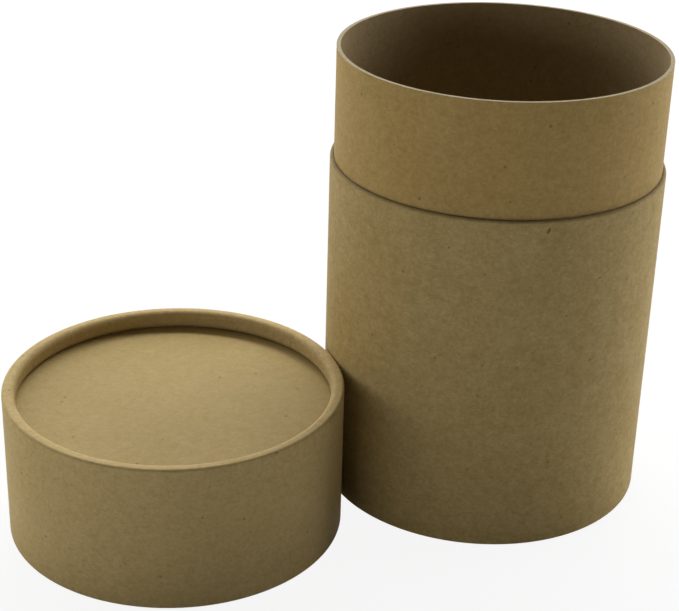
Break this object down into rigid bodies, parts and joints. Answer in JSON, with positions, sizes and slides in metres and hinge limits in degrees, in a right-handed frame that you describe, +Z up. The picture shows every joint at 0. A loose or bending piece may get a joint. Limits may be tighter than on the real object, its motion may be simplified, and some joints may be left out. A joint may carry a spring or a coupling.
{
  "type": "paperboard tube container",
  "caption": "Round kraft paperboard tube container, open, with a telescoping inner neck, rolled edges and recessed discs, and its lift-off lid standing beside it.",
  "frame": {"origin": "On the body's axis, at the centre of the ring that the body stands on.", "axes": "+Z up along the body's axis; the lid stands beside the body on the -X side."},
  "size_m": [0.2008, 0.1004, 0.1386],
  "materials": {
    "outer_kraft": "uncoated brown kraft paper, matte, fine fibres",
    "neck_kraft": "uncoated brown kraft paper, matte, a little warmer than the outside",
    "disc_kraft": "uncoated brown kraft board, matte, mottled"
  },
  "bodies": {
    "container": {"outer_tube": "outer_kraft", "base_disc": "disc_kraft", "neck_tube": "neck_kraft"},
    "lid": {"lid_tube": "outer_kraft", "lid_disc": "disc_kraft"}
  },
  "joints": [
    {"name": "lid_lift", "type": "slide", "parent": "container", "child": "lid", "axis": [0, 0, 1], "range_m": [0, 0.145]}
  ]
}
